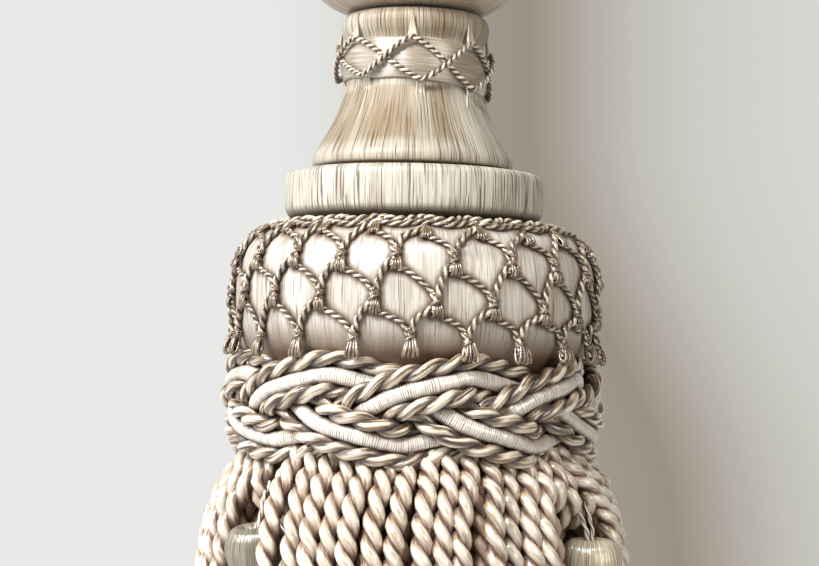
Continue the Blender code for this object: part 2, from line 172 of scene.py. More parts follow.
LIT_POINT = Vector((0.0, 0.0, -0.09))      # the lamps are turned to this point, in metres


def area_light(name, place, size, power, colour):
    data = bpy.data.lights.new(name, "AREA")
    data.size = size
    data.energy = power
    data.color = colour
    lamp = link_object(name, data)
    lamp.location = place
    lamp.rotation_euler = (LIT_POINT - Vector(place)).to_track_quat("-Z", "Y").to_euler()


area_light("key", (-0.39, -0.36, 0.27), 0.26, 4.7, (1.0, 1.0, 0.985))
area_light("front", (-0.14, -0.38, 0.35), 0.09, 1.7, (1.0, 1.0, 1.0))
area_light("left", (-0.60, -0.06, -0.04), 0.40, 1.0, (1.0, 1.0, 1.0))
area_light("fill", (0.42, -0.46, 0.08), 0.30, 1.15, (1.0, 0.93, 0.83))

# ---------------------------------------------------------------------------------------------
# Bun and its cord collar
# A flattened ball of turned wood at the top of the head, covered with beige silk floss laid
# from pole to pole, and the little turned collar through which the tieback rope goes in.


AXIS_R = 0.02                              # where a turned line ends, just off the axis


def smooth_line(points, per_span):
    """A smooth line through (radius, height) points, with per_span pieces between each pair."""
    p = np.array([points[0]] + list(points) + [points[-1]], float)
    line = []
    for i in range(1, len(p) - 2):
        for t in np.linspace(0.0, 1.0, per_span, endpoint=False):
            a, b, c, d = p[i - 1:i + 3]
            line.append(0.5 * (2 * b + (c - a) * t + (2 * a - 5 * b + 4 * c - d) * t * t
                               + (3 * b - a - 3 * c + d) * t ** 3))
    line.append(p[-2])
    return [tuple(q) for q in line]


def turned(line, steps):
    """A closed turned body: the line of (radius, height) is spun over an eighth of a turn, and
    the eighth is repeated."""
    bm = bmesh.new()
    verts = [bm.verts.new((r * MM, 0.0, z * MM)) for r, z in line]
    edges = [bm.edges.new(pair) for pair in zip(verts, verts[1:])]
    bmesh.ops.spin(bm, geom=verts + edges, cent=(0, 0, 0), axis=(0, 0, 1), angle=math.tau / 8,
                   steps=steps // 8, use_merge=False, use_duplicate=False)
    eighth = bm.verts[:] + bm.edges[:] + bm.faces[:]
    for k in range(1, 8):
        copy = bmesh.ops.duplicate(bm, geom=eighth)["geom"]
        copied = [v for v in copy if isinstance(v, bmesh.types.BMVert)]
        bmesh.ops.rotate(bm, verts=copied, cent=(0, 0, 0), matrix=Matrix.Rotation(math.tau * k / 8, 3, "Z"))
    bmesh.ops.remove_doubles(bm, verts=bm.verts, dist=0.000002)
    bmesh.ops.recalc_face_normals(bm, faces=bm.faces)
    return bm


def threads_round(steps, seed):
    """How far each of the floss threads round a mould stands out: two patterns of 0 to 1."""
    rng = np.random.default_rng(seed)
    patterns = []
    for _ in range(2):
        fine = rng.random(steps)
        broad = rng.random(steps)
        broad = (broad + np.roll(broad, 1) + np.roll(broad, -1)) / 3.0
        pattern = 0.55 * fine + 0.45 * broad
        patterns.append((pattern - pattern.min()) / (pattern.max() - pattern.min()))
    return patterns


def to_axis(line):
    """A line of (radius, height) run in to the axis at both ends."""
    return [(AXIS_R, line[0][1])] + line + [(AXIS_R, line[-1][1])]


def tipped(points, seat_z, tilt):
    """Points in mm, tipped by tilt about a level axis at seat_z, right side down."""
    p = np.array(points, float)
    up = p[..., 2] - seat_z
    x = p[..., 0] * math.cos(tilt) + up * math.sin(tilt)
    z = -p[..., 0] * math.sin(tilt) + up * math.cos(tilt) + seat_z
    return np.stack([x, p[..., 1], z], -1)


def floss_mould(name, line, steps, seat_z, tilt, seed, ridge=0.10):
    """A turned piece covered with floss: its line of (radius, height) spun, then ridged.

    line runs from the top to the bottom on its outer side.
    """
    mesh = mesh_of(name, turned(line, steps))
    co = np.empty(len(mesh.vertices) * 3)
    mesh.vertices.foreach_get("co", co)
    co = co.reshape(-1, 3) / MM
    radius = np.hypot(co[:, 0], co[:, 1])
    angle = np.arctan2(co[:, 1], co[:, 0]) % math.tau
    which = np.rint(angle / math.tau * steps).astype(int) % steps
    first, second = threads_round(steps, seed)
    swap = 0.5 + 0.5 * np.sin(co[:, 2] * 0.42 + which * 0.37)
    stand = first[which] * swap + second[which] * (1.0 - swap)
    widest = radius.max()
    out = ridge * (stand - 0.6) * np.clip(radius / widest * 2.5, 0.0, 1.0)
    scale = np.where(radius > 0.01, 1.0 + out / np.maximum(radius, 0.01), 1.0)
    co[:, 0] *= scale
    co[:, 1] *= scale
    mesh.vertices.foreach_set("co", (tipped(co, seat_z, tilt) * MM).ravel())
    stands = mesh.attributes.new("thread", "FLOAT", "POINT")
    stands.data.foreach_set("value", stand.astype(np.float32))
    mesh.update()
    return link_object(name, mesh)


def noise(tree, vector, **inputs):
    """A noise pattern over vector."""
    return add(tree, "TexNoise", {"Vector": vector, **inputs}).outputs["Fac"]


def attribute(tree, name):
    return add(tree, "Attribute", attribute_name=name).outputs["Fac"]


def silk_shader(tree, colour, height, strength, distance, values):
    """Colour, a fine relief from height, and values for the shader's other inputs."""
    bump = add(tree, "Bump", {"Height": height, "Strength": strength, "Distance": distance})
    feed(tree, tree.nodes["Principled BSDF"],
         {"Base Color": colour, "Normal": bump.outputs[0], "Specular IOR Level": 1.0,
          "Sheen Roughness": 0.35, **values})


def round_tangent(tree):
    return add(tree, "Tangent", direction_type="RADIAL", axis="Z").outputs[0]


def floss_silk(name, light, mid, gap, around, crack=0.36, patches=0.12, roughness=0.30,
               shine=1.0, centre=(0.0, 0.0)):
    """Silk floss laid up and down a round mould.

    around is the number of threads in one radian. The threads differ in colour, and here and
    there two part in a fine line, which is painted dark as shade. Where something lies on the
    floss or gathers it ('pressed', 0 to 1), shade is painted into its colour and its gloss dulled.
    """
    mat, tree = new_material(name)
    place = add(tree, "Mapping", {"Vector": object_place(tree),
                                  "Location": (-centre[0] * MM, -centre[1] * MM, 0.0)})
    where = split(tree, place.outputs[0])
    turn = calc(tree, "MULTIPLY", calc(tree, "ARCTAN2", where["X"], where["Y"]), around)
    long_z = calc(tree, "MULTIPLY", where["Z"], 34.0)
    short_z = calc(tree, "MULTIPLY", where["Z"], 62.0)
    laid = add(tree, "CombineXYZ", {"X": turn, "Z": long_z}).outputs[0]
    broken = add(tree, "CombineXYZ", {"X": turn, "Y": 7.0, "Z": short_z}).outputs[0]
    strand = noise(tree, laid, Scale=1.1, Detail=3.0, Roughness=0.8)
    parted = noise(tree, broken, Scale=1.9, Detail=0.0)
    broad = noise(tree, laid, Scale=patches, Detail=1.0)
    mixed = calc(tree, "ADD", strand, calc(tree, "MULTIPLY", attribute(tree, "thread"), 0.25))
    lifted = calc(tree, "ADD", mixed, calc(tree, "MULTIPLY", broad, 0.35))
    tone = ramp(tree, lifted, [(0.60, mid), (0.92, light)])
    line = calc(tree, "ADD", parted, calc(tree, "MULTIPLY", broad, 0.16))
    # painted shade: the partings, and the places marked on the mould, are darkened towards gap
    painted_parting_shade = ramp(tree, line, [(crack + 0.06, (0.8, 0.8, 0.8)), (crack + 0.12, (0, 0, 0))])
    shaded = calc(tree, "MAXIMUM", attribute(tree, "pressed_and_painted_shade"), painted_parting_shade)
    colour = add(tree, "MixRGB", {"Fac": shaded, "Color1": tone, "Color2": (*gap, 1.0)})
    silk_shader(tree, colour.outputs[0], calc(tree, "ADD", strand, parted), 0.5, 0.00012, {
        "Tangent": round_tangent(tree), "Roughness": rescaled(tree, shaded, 0.0, 1.0, roughness, 0.8),
        "IOR": 1.7, "Anisotropic": 0.8, "Specular IOR Level": shine, "Sheen Weight": 0.15})
    return mat


def finish_piece(piece, mat, slot, *nodes):
    """Material, body and the CAD nodes that the piece stands for; slot is not used."""
    piece.data.materials.clear()
    piece.data.materials.append(mat)
    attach(piece, "root")
    if nodes:
        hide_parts(*nodes)


SEAT_TILT = math.radians(1.25)

beige_floss = floss_silk("beige_floss", (0.53, 0.425, 0.315), (0.33, 0.25, 0.168), (0.06, 0.03, 0.015),
                         52.0, 0.28)
BUN_Z, BUN_R, BUN_HALF_HEIGHT = -11.3, 20.4, 8.0
BUN_FROM, BUN_TO = 17.7, 142.0             # degrees from its top pole
bun_line = []
for i in range(31):
    a = math.radians(BUN_FROM + (BUN_TO - BUN_FROM) * i / 30)
    bun_line.append((BUN_R * math.sin(a), BUN_Z + BUN_HALF_HEIGHT * math.cos(a)))
bun = floss_mould("top_bun_floss", to_axis(bun_line), 480, BUN_Z, SEAT_TILT, 11, 0.12)
finish_piece(bun, beige_floss, "tan_silk", "top_bun")

collar_line = smooth_line([(3.05, -1.6), (3.05, -0.5), (3.5, -0.02), (4.6, -0.02), (5.35, -0.5),
                           (5.45, -1.6), (5.35, -2.7), (4.8, -3.15), (3.6, -3.15), (3.05, -2.9)], 4)
collar_line = collar_line + [collar_line[0]]
collar = floss_mould("cord_collar_floss", collar_line, 192, -1.6, 0.0, 12, 0.05)
finish_piece(collar, beige_floss, "tan_silk", "cord_collar")

# ---------------------------------------------------------------------------------------------
# Neck
# One turned mould, collar, waist and bell, covered with cream floss from top to bottom. The
# threads are drawn in at the waist and lie open over the bell's foot.

cream_floss = floss_silk("cream_floss", (0.53, 0.495, 0.42), (0.275, 0.205, 0.125),
                         (0.05, 0.025, 0.009), 46.0, 0.325, 0.05, 0.48, 0.35)
NECK_Z = -33.6
BELL_TOP_Z, BELL_HEIGHT = -33.5, 14.0
SEAT_SLOPE = 0.022                         # about the tangent of SEAT_TILT
neck_line = smooth_line([(11.6, -17.9), (13.6, -18.2), (14.5, -19.2), (14.8, -20.6), (14.6, -22.0),
                         (13.9, -23.6), (13.5, -26.0), (13.5, -30.5), (13.7, -33.0), (14.4, -35.2),
                         (15.3, -37.6), (16.5, -40.2), (18.0, -42.9), (19.3, -45.3), (20.1, -47.0),
                         (20.0, -48.5), (19.0, -49.3)], 3)
neck = floss_mould("neck_floss", to_axis(neck_line), 720, NECK_Z, SEAT_TILT, 21, 0.09)


def azimuth(co):
    """Degrees round the tassel, from the front towards +X."""
    return math.degrees(math.atan2(co.x, -co.y))


def nearest_angle(degrees, angles):
    """The smallest angle between degrees and any of angles."""
    return min(abs((degrees - angle + 180.0) % 360.0 - 180.0) for angle in angles)


def clamp(value, low=0.0):
    return min(1.0, max(low, value))


def seat_depth(co):
    """How deep a point lies under the tassel's top, in mm, measured along the tipped moulds."""
    return -co.z / MM - SEAT_SLOPE * co.x / MM


# the stitches of the lattice gather the floss: from each foot a lighter fold fans out over the bell
TOP_ANGLES = (-49.0, -1.0, 47.0, 99.8, 152.6, 205.4, 258.2)
FOOT_ANGLES = (-41.0, 5.0, 48.0, 102.2, 156.4, 210.6, 264.8)
for v, thread in zip(neck.data.vertices, neck.data.attributes["thread"].data):
    z = v.co.z / MM
    around = azimuth(v.co)
    if z < BELL_TOP_Z:
        down = min(1.0, (BELL_TOP_Z - z) / BELL_HEIGHT)
        width = 3.0 + 4.0 * down
        fold = math.exp(-(nearest_angle(around, FOOT_ANGLES) / width) ** 2) * (1.0 - 0.35 * down)
        # painted highlight: the bell's foot, and a patch on its right side, are painted lighter where the
        # light falls on them
        foot = clamp((-43.6 - z) / 1.6)
        painted_light = 1.1 * clamp((around - 22.0) / 16.0) * clamp((92.0 - around) / 16.0)
        thread.value = 0.4 * thread.value + max(0.75 * fold, 0.85 * foot, painted_light) - 0.4
        push = 1.0 + 0.012 * (fold - 0.4)
        v.co.x *= push
        v.co.y *= push
    elif -24.0 < z < -18.6:
        nearest = nearest_angle(around, TOP_ANGLES)
        # painted light: the collar's left side is painted lighter
        painted_light = clamp((-28.0 - around) / 14.0) * clamp((around + 118.0) / 14.0)
        thread.value = 0.9 * thread.value + 0.5 * math.exp(-(nearest / 6.0) ** 2) + 0.7 * painted_light - 0.45
# painted shade: dark lines beside each fold of the bell, along its foot where it sits on the disc and along
# its top under the bun
painted_seat_shade = neck.data.attributes.new("pressed_and_painted_shade", "FLOAT", "POINT").data
for v, mark in zip(neck.data.vertices, painted_seat_shade):
    depth = seat_depth(v.co)
    nearest = nearest_angle(azimuth(v.co), FOOT_ANGLES)
    below = (depth - 32.4) / 13.0
    painted_pleat_shade = 0.0
    if 0.0 < below < 1.0:
        painted_pleat_shade = 0.75 * (1.0 - below) * math.exp(-((nearest - 0.9 - 3.2 * below) / 0.55) ** 2)
    mark.value = min(1.0, max(painted_pleat_shade, (depth - 48.35) / 0.5, (18.55 - depth) / 0.5))
finish_piece(neck, cream_floss, "silk_floss", "neck_mould")

# ---------------------------------------------------------------------------------------------
# Waist band
# Glossy ivory threads wound round the waist, side by side, with a soft belly. Its edges wander,
# because the threads were wound by hand.

BAND_TOP_SLOPE = math.tan(math.radians(3.5))
BAND_FOOT_SLOPE = math.tan(math.radians(6.5))
BAND_ROWS = 30
BAND_TOP_Z, BAND_HEIGHT = -24.3, 8.1
BAND_INNER_R, BAND_EDGE_R, BAND_BELLY, THREAD_RIDGE = 13.55, 14.05, 0.85, 0.09
band_line = [(BAND_INNER_R, BAND_TOP_Z)]
for i in range(3 * BAND_ROWS + 1):
    t = i / (3 * BAND_ROWS)
    belly = BAND_EDGE_R + BAND_BELLY * math.sin(math.pi * t) ** 0.7
    thread = THREAD_RIDGE * abs(math.cos(math.pi * t * BAND_ROWS))
    band_line.append((belly - THREAD_RIDGE + thread, BAND_TOP_Z - BAND_HEIGHT * t))
band_line.append((BAND_INNER_R, -32.4))
band_bm = turned(band_line + [band_line[0]], 240)
for v in band_bm.verts:
    down = (BAND_TOP_Z - v.co.z / MM) / BAND_HEIGHT
    angle = math.atan2(v.co.x, -v.co.y)
    wander = 0.22 * math.sin(3.0 * angle + 1.0) + 0.12 * math.sin(7.0 * angle + 9.0 * down)
    slope = BAND_TOP_SLOPE + (BAND_FOOT_SLOPE - BAND_TOP_SLOPE) * down
    v.co.z += -v.co.x * slope + wander * MM
band = link_object("waist_band_threads", mesh_of("waist_band_threads", band_bm))

satin, tree = new_material("satin_thread")
where = split(tree, object_place(tree))
turn = calc(tree, "MULTIPLY", calc(tree, "ARCTAN2", where["X"], where["Y"]), 1.6)
height = calc(tree, "ADD", where["Z"], calc(tree, "MULTIPLY", where["X"], 0.09))
laid = add(tree, "CombineXYZ", {"X": turn, "Z": calc(tree, "MULTIPLY", height, 3800.0)})
wound = noise(tree, laid.outputs[0], Scale=1.0, Detail=2.0)
tone = ramp(tree, wound, [(0.26, (0.16, 0.11, 0.07)), (0.44, (0.34, 0.275, 0.20)),
                          (0.70, (0.55, 0.49, 0.41))])
silk_shader(tree, tone, wound, 0.4, 0.00006, {
    "Tangent": round_tangent(tree), "Roughness": 0.42, "IOR": 2.0, "Anisotropic": 0.95,
    "Anisotropic Rotation": 0.25, "Sheen Weight": 0.2, "Sheen Roughness": 0.3})
finish_piece(band, satin, "satin_thread", "waist_band")

# ---------------------------------------------------------------------------------------------
# Waist lattice
# One thin two-ply cord sewn over the band in a closed zigzag that goes twice round, seven
# points above and seven below, each caught down by a pinch of white floss.


def even_points(path, spacing, closed):
    """Points a fixed distance apart along a path of points, in mm."""
    p = np.array(path, float)
    if closed:
        p = np.vstack([p, p[:1]])
    length = np.concatenate([[0.0], np.cumsum(np.linalg.norm(np.diff(p, axis=0), axis=1))])
    count = max(4, int(round(length[-1] / spacing)))
    at = np.linspace(0.0, length[-1], count, endpoint=not closed)
    return np.stack([np.interp(at, length, p[:, k]) for k in range(3)], 1), length[-1]


def polar(r, a, z):
    """The point at radius r and height z, at a radians from the front towards +X."""
    return (r * math.sin(a), -r * math.cos(a), z)


def axes_across(p, closed, out_from):
    """Two unit vectors across the path at each point, the first pointing away from the axis."""
    if closed:
        along = np.roll(p, -1, 0) - np.roll(p, 1, 0)
    else:
        along = np.gradient(p, axis=0)
    along /= np.linalg.norm(along, axis=1, keepdims=True)
    out = p - np.array([out_from[0], out_from[1], 0.0])
    out[:, 2] = 0.0
    out -= (out * along).sum(1, keepdims=True) * along
    out /= np.linalg.norm(out, axis=1, keepdims=True) + 1e-9
    return out, np.cross(along, out)


LOOSE, TIGHT = 0.46, 0.42      # where the middle of a ply lies, as a share of the cord's radius


def plies_of(path, radius, lay, pitch, per_turn, closed, phase, out_from=(0.0, 0.0)):
    """The middle lines of two plies that are twisted together along path, and the path itself."""
    p, length = even_points(path, pitch / per_turn, closed)
    out, side = axes_across(p, closed, out_from)
    count = len(p)
    turns = length / pitch
    if closed:
        turns = round(turns)
    share = np.arange(count) / (count if closed else count - 1)
    lines = []
    for start in (0.0, math.pi):
        a = phase - math.tau * turns * share + start
        lines.append(p + lay * radius * (np.cos(a)[:, None] * out + np.sin(a)[:, None] * side))
    return lines, p


def tree_of(points):
    """A search tree over points in metres."""
    tree = KDTree(len(points))
    for i, point in enumerate(points):
        tree.insert(point, i)
    tree.balance()
    return tree


def swept(name, rods, sides, closed):
    """A mesh of round rods from (middle line, radii) pairs in mm."""
    curve = bpy.data.curves.new(name, "CURVE")
    curve.dimensions = "3D"
    curve.bevel_depth = MM
    curve.bevel_resolution = (sides - 4) // 2
    curve.use_fill_caps = not closed
    for points, widths in rods:
        spline = curve.splines.new("POLY")
        spline.points.add(len(points) - 1)
        flat = np.ones((len(points), 4))
        flat[:, :3] = points * MM
        spline.points.foreach_set("co", flat.ravel())
        spline.points.foreach_set("radius", widths)
        spline.use_cyclic_u = closed
    holder = link_object(name + "_lines", curve)
    depsgraph = bpy.context.evaluated_depsgraph_get()
    mesh = bpy.data.meshes.new_from_object(holder.evaluated_get(depsgraph))
    mesh.name = name
    bpy.data.objects.remove(holder)
    bpy.data.curves.remove(curve)
    return mesh


def cord_mesh(name, lines, hearts, sides, closed=False, ends=(), painted_back_shade=0.0):
    """One mesh of round plies from their middle lines.

    lines holds (points, ply radius) pairs in mm, and hearts (points of the heart, cord radius).
    ends holds (points back from a ply's end, share of its radius left there) pairs. Each vertex
    keeps in 'lift' how far out of the cord it stands, 0 at the heart and 1 outside, so that the
    creases between plies can be painted dark as shade and the crests painted light. backs is how
    much lower the sides that face the tassel's middle count, which paints shade on those sides.
    """
    rods = []
    for points, radius in lines:
        widths = np.ones(len(points)) * radius
        for back, share in ends:
            widths[-1 - back] *= share
        rods.append((points, widths))
    mesh = swept(name, rods, sides, closed)
    bm = bmesh.new()
    bm.from_mesh(mesh)
    bmesh.ops.remove_doubles(bm, verts=bm.verts, dist=0.0000005)
    bm.to_mesh(mesh)
    bm.free()
    mesh.shade_smooth()
    reaches = np.concatenate([np.full(len(points), far) for points, far in hearts]) * MM
    tree = tree_of(np.concatenate([points for points, _ in hearts]) * MM)
    found = [tree.find(v.co) for v in mesh.vertices]
    reach = np.array([reaches[near[1]] for near in found])
    lift_for_painted_light = np.array([near[2] for near in found]) / reach
    if painted_back_shade:
        nearest = np.array([near[0] for near in found])
        outward = nearest * (1.0, 1.0, 0.0)
        outward /= np.linalg.norm(outward, axis=1, keepdims=True)
        places = np.empty(len(mesh.vertices) * 3)
        mesh.vertices.foreach_get("co", places)
        facing = ((places.reshape(-1, 3) - nearest) * outward).sum(1) / reach
        lift_for_painted_light *= 1.0 - painted_back_shade * (1.0 - np.clip((facing + 0.25) / 0.8, 0.0, 1.0))
    stored = mesh.attributes.new("lift_for_painted_light", "FLOAT", "POINT")
    stored.data.foreach_set("value", np.clip(lift_for_painted_light, 0.0, 1.2).astype(np.float32))
    return link_object(name, mesh)


def cord_silk(name, tones, fibres, along, slew=0.0, roughness=0.30, reach=(0.46, 1.0), streaks=0.6,
              relief=0.00004):
    """Silk plies: fibres run along each ply in streaks, every ply has its own tone, the creases
    are painted dark as shade and the crests painted light as a highlight.

    tones run from crease to crest, painted shade to painted highlight; fibres is how many streaks
    there are round a ply, along how often they change over its length, and slew how many radians they wind
    round it.
    """
    mat, tree = new_material(name)
    laid = split(tree, add(tree, "UVMap", uv_map="UVMap").outputs[0])
    around = calc(tree, "MULTIPLY", laid["Y"], math.tau)
    turn = calc(tree, "ADD", around, calc(tree, "MULTIPLY", laid["X"], slew))
    span = fibres / math.tau
    own = add(tree, "NewGeometry").outputs["Random Per Island"]
    far = calc(tree, "MULTIPLY", laid["X"], along)
    placed = add(tree, "CombineXYZ", {
        "X": calc(tree, "MULTIPLY", calc(tree, "COSINE", turn), span),
        "Y": calc(tree, "MULTIPLY", calc(tree, "SINE", turn), span),
        "Z": calc(tree, "ADD", far, calc(tree, "MULTIPLY", own, 50.0))})
    strands = noise(tree, placed.outputs[0], Scale=1.0, Detail=3.0, Roughness=0.65)
    blotches = noise(tree, object_place(tree), Scale=420.0, Detail=2.0)
    depth = attribute(tree, "lift_for_painted_light")
    # painted shade in the creases and painted highlight on the crests
    stand = rescaled(tree, depth, *reach, 0.1 - 0.5 * streaks, 0.6 - 0.5 * streaks)
    streaked = calc(tree, "MULTIPLY_ADD", strands, streaks, stand)
    varied = calc(tree, "MULTIPLY_ADD", own, 0.10, streaked)
    summed = calc(tree, "MULTIPLY_ADD", blotches, 0.16, varied)
    tone = ramp(tree, summed, list(zip((0.24, 0.38, 0.57, 0.76), tones)))
    dull = rescaled(tree, depth, reach[0], 0.5 * (reach[0] + reach[1]), 0.75, roughness)
    silk_shader(tree, tone, strands, 0.7, relief, {
        "Roughness": dull, "IOR": 1.75, "Sheen Weight": 0.12})
    return mat


# tones from crease to crest: painted shade to painted highlight
bronze_silk = cord_silk("bronze_silk", ((0.012, 0.004, 0.002), (0.075, 0.036, 0.015),
                                         (0.27, 0.195, 0.115), (0.88, 0.79, 0.63)),
                        4.0, 8.0, 0.0, 0.26, (0.56, 1.05), 0.6)
TOP_SLOPE = math.tan(math.radians(3.3))
FOOT_SLOPE = math.tan(math.radians(7.0))
LATTICE_LEGS, LEG_POINTS, LATTICE_R = 14, 16, 0.62
turning_points = []
for k in range(LATTICE_LEGS):
    turning_points.append((FOOT_ANGLES if k % 2 else TOP_ANGLES)[k % 7] + (360.0 if k >= 7 else 0.0))
turning_points.append(turning_points[0] + 720.0)
lattice_path = []
for i in range(LATTICE_LEGS * LEG_POINTS):
    leg, along = divmod(i, LEG_POINTS)
    share = along / LEG_POINTS
    angle = math.radians(turning_points[leg] + share * (turning_points[leg + 1] - turning_points[leg]))
    swing = 0.6 * (1.0 - 2.0 * share) + 0.4 * math.cos(math.pi * share)
    swing = 0.5 + 0.5 * (swing if leg % 2 == 0 else -swing)
    r = 15.45 + 0.36 * (1.0 if leg % 2 else -1.0) * math.sin(math.pi * share)
    x, y = r * math.sin(angle), -r * math.cos(angle)
    top = BAND_TOP_Z - x * TOP_SLOPE
    foot = -32.5 - x * FOOT_SLOPE
    lattice_path.append((x, y, foot + (top - foot) * swing))
lattice_lines, lattice_heart = plies_of(lattice_path, LATTICE_R, LOOSE, 2.9, 10, True, 0.4)
lattice = cord_mesh("waist_lattice_cord", [(line, 0.345) for line in lattice_lines],
                    [(lattice_heart, LATTICE_R)], 8, True, (), 0.3)
finish_piece(lattice, bronze_silk, "net_cord", "waist_lattice")

# tones from crease to crest: painted shade to painted highlight
white_floss = cord_silk("white_floss", ((0.20, 0.12, 0.07), (0.45, 0.37, 0.27), (0.68, 0.61, 0.50),
                                         (0.86, 0.82, 0.74)), 5.0, 6.0)
PINCH_R = 15.0
pinch_lines, pinch_hearts = [], []
neck_depths = [-z for r, z in neck_line]
neck_radii = [r for r, z in neck_line]
for degrees, at_top in [(d, True) for d in TOP_ANGLES] + [(d, False) for d in FOOT_ANGLES]:
    a = math.radians(degrees)
    x = PINCH_R * math.sin(a)
    for aside in (-1.0, -0.6, -0.2, 0.2, 0.6, 1.0):
        if at_top:
            tip = -24.4 - x * TOP_SLOPE
            heights = np.array([-18.7, -20.3, tip + 1.6, tip + 0.2, tip - 0.9])
            radii = np.array([14.4, 14.9, 15.0, 15.2, 14.6])
            spread = np.array([0.05, 0.15, 0.5, 0.75, 0.6]) * aside / PINCH_R
        else:
            tip = -32.8 - x * FOOT_SLOPE
            deep = 1.0 + 0.25 * math.sin(9.0 * aside + degrees)
            heights = np.array([tip + 0.9, tip - 0.3, tip - 1.2 * deep, tip - 2.4 * deep, tip - 3.8 * deep])
            on_neck = [np.interp(-z, neck_depths, neck_radii) for z in heights]
            radii = np.array(on_neck) + np.array([0.5, 0.6, 0.06, -0.22, -0.5])
            spread = np.array([0.5, 0.6, 0.7, 0.9, 1.2]) * aside / PINCH_R
        line = np.stack([radii * np.sin(a + spread), -radii * np.cos(a + spread), heights], 1)
        fine, _ = even_points(line, 0.35, False)
        thin = np.linspace(0.14, 0.30, len(fine)) if at_top else np.linspace(0.32, 0.18, len(fine))
        pinch_lines.append((fine, thin))
        pinch_hearts.append((fine, 0.28))
pinches = cord_mesh("waist_pinches", pinch_lines, pinch_hearts, 6)
# tones from crease to crest: painted shade to painted highlight
pinch_floss = cord_silk("pinch_floss", ((0.20, 0.13, 0.07), (0.34, 0.27, 0.17), (0.46, 0.395, 0.28),
                                         (0.58, 0.525, 0.41)), 3.0, 4.0, 0.0, 0.45)
finish_piece(pinches, pinch_floss, "silk_floss")

# ---------------------------------------------------------------------------------------------
# Disc
# A flat turned disc between neck and drum, its rounded edge covered with cream floss, which
# parts here and there.

open_floss = floss_silk("open_floss", (0.71, 0.68, 0.60), (0.33, 0.275, 0.195),
                        (0.045, 0.022, 0.008), 68.0, 0.375, 0.08, 0.44, 0.5)
DISC_Z = -54.45
disc_line = smooth_line([(22.6, -49.6), (24.5, -49.8), (25.5, -50.5), (25.8, -51.9), (25.8, -56.5),
                         (25.4, -58.1), (24.3, -59.05), (22.6, -59.3)], 3)
disc = floss_mould("disc_floss", to_axis(disc_line), 640, DISC_Z, SEAT_TILT, 31, 0.13)
# painted shade towards the disc's foot, where it sits on the drum
painted_seat_shade = disc.data.attributes.new("pressed_and_painted_shade", "FLOAT", "POINT").data
for v, mark in zip(disc.data.vertices, painted_seat_shade):
    mark.value = clamp(0.8 * (seat_depth(v.co) - 57.4) / 1.2)
finish_piece(disc, open_floss, "silk_floss", "disc_mould")

# ---------------------------------------------------------------------------------------------
# Drum
# The large turned drum with its round shoulder, covered with silver-cream floss, and under it
# the bare spigot on which the plait is wound.

DRUM_SEAT_Z = -83.25
drum_floss = floss_silk("drum_floss", (0.74, 0.71, 0.65), (0.38, 0.315, 0.245),
                        (0.15, 0.075, 0.032), 100.0, 0.31, 0.10)
drum_points = [(23.5, -60.1), (26.4, -60.3), (29.0, -61.0), (31.5, -62.3), (33.4, -64.1),
               (34.7, -66.3), (35.4, -68.8), (35.8, -71.4), (35.9, -74.0), (35.9, -78.0),
               (35.6, -81.0), (34.9, -83.4), (33.6, -85.8), (31.9, -87.8), (30.4, -89.4)]
drum_visible = smooth_line(drum_points, 5)
drum_line = to_axis(drum_visible + [(30.3, -92.0), (30.3, -106.3)])
drum = floss_mould("drum_floss", drum_line, 880, DRUM_SEAT_Z, SEAT_TILT, 41, 0.09)
finish_piece(drum, drum_floss, "silk_floss", "drum_mould")

# ---------------------------------------------------------------------------------------------
# Net
# Fine two-ply cord knotted over the drum from a ring at its shoulder: 21 columns, four rows of
# knots. Cords that run down to the left carry the knots and are thicker than the others.


drum_depths = [-z for r, z in drum_visible]
drum_radii = [r for r, z in drum_visible]


def drum_radius(z):
    """Radius of the drum's outer line at height z, in mm."""
    return float(np.interp(-z, drum_depths, drum_radii))


def lean(points, tilt=SEAT_TILT):
    """Points in mm, tipped with the drum."""
    return tipped(points, DRUM_SEAT_Z, tilt)


NET_COLUMNS = 21
NET_STEP = 360.0 / NET_COLUMNS
NET_ROWS = [(-62.4, 2.85), (-69.2, 12.30), (-77.0, 22.94), (-84.3, 32.69)]
NET_SLOPES = (0.03, 0.035, 0.045, 0.012)       # each row of knots also drops a little to the right
NET_FREE_Z = -82.0         # the net hangs clear of the drum below this, out to the plait's edge
KNOT_R = 36.5
net_rng = np.random.default_rng(51)


def on_drum(degrees, z, stand):
    """A point on the drum's surface, stand mm proud of it."""
    r = drum_radius(z) + stand
    if z < NET_FREE_Z:
        r = max(r, 35.6 + 0.28 * (NET_FREE_Z - z) + stand - 0.3)
    return polar(r, math.radians(degrees), z)


def net_leg(start, end, stand, to_right):
    """A cord from the foot of one knot to the crossing above the next, and down to its foot."""
    a0, foot0 = start
    a1, foot1 = end
    wide, crossing = a1 - a0, foot1 + 4.9
    if to_right:
        points = [(a0 + 0.9, foot0 + 0.5), (a0 + 0.9 + 0.26 * wide, foot0 - 0.15),
                  (a1 - 0.24 * wide, crossing + 1.0), (a1 - 0.9, crossing - 0.5),
                  (a1 - 0.1, crossing - 2.4), (a1 + 0.7, foot1 + 0.8)]
    else:
        points = [(a0 - 0.7, foot0 + 1.9), (a0 - 0.7 + 0.30 * wide, foot0 + 1.2),
                  (a1 - 0.22 * wide, crossing + 1.5), (a1 + 0.6, crossing - 0.2),
                  (a1 - 0.2, crossing - 2.4), (a1 - 0.5, foot1 + 0.8)]
    return [on_drum(a, z, stand) for a, z in smooth_line(points, 4)]


knots = {}
for row, (z, first) in enumerate(NET_ROWS):
    for k in range(NET_COLUMNS):
        a = first + k * NET_STEP + net_rng.normal(0.0, 0.45)
        drop = NET_SLOPES[row] * 36.0 * math.sin(math.radians(a))
        knots[row, k] = (a, z - 1.9 - drop + net_rng.normal(0.0, 0.22))

net_lines, net_hearts = [], []


